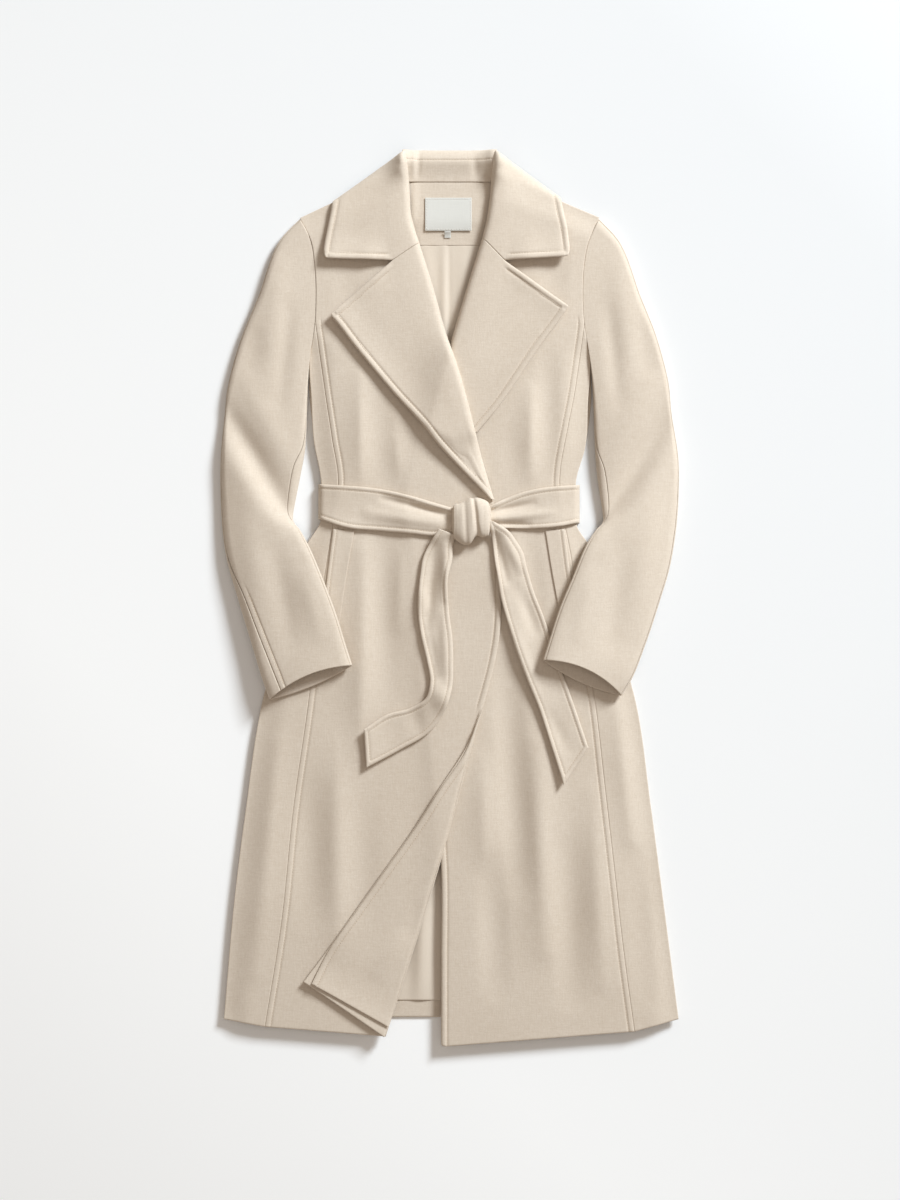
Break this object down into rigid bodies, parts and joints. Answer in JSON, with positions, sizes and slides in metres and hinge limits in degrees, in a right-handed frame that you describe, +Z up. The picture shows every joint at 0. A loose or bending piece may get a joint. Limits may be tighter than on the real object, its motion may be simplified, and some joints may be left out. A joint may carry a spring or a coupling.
{
  "type": "wrap coat",
  "caption": "Mid-calf wrap coat in pale oatmeal wool with notched collar, lapels and tie belt, laid flat on its back, lower front corner turned back.",
  "frame": {"origin": "centre of the bounding box's base, on the surface the coat lies on", "axes": "+Y from hem to collar, +X from the wearer's right to the wearer's left, +Z up from the surface"},
  "size_m": [0.5716, 1.1188, 0.0429],
  "materials": {
    "wool": "matt brushed wool coating",
    "lining": "smooth lining with a faint sheen",
    "label": "woven label, blank"
  },
  "bodies": {
    "root": {"back": "wool", "back_lining": "lining", "back_neck_facing": "wool", "belt_back": "wool", "belt_knot": "wool", "belt_left": "wool", "belt_right": "wool", "belt_tail_left": "wool", "belt_tail_right": "wool", "collar_back": "wool", "collar_left": "wool", "collar_right": "wool", "collar_stand": "wool", "front_corner_right": "wool", "front_facing_right": "wool", "front_left": "wool", "front_right": "wool", "label": "label", "lapel_left": "wool", "lapel_right": "wool", "pocket_welt_left": "wool", "pocket_welt_right": "wool", "side_front_left": "wool", "side_front_right": "wool", "size_tag": "label", "top_sleeve_left": "wool", "top_sleeve_right": "wool", "under_sleeve_left": "wool", "under_sleeve_right": "wool"}
  },
  "joints": []
}
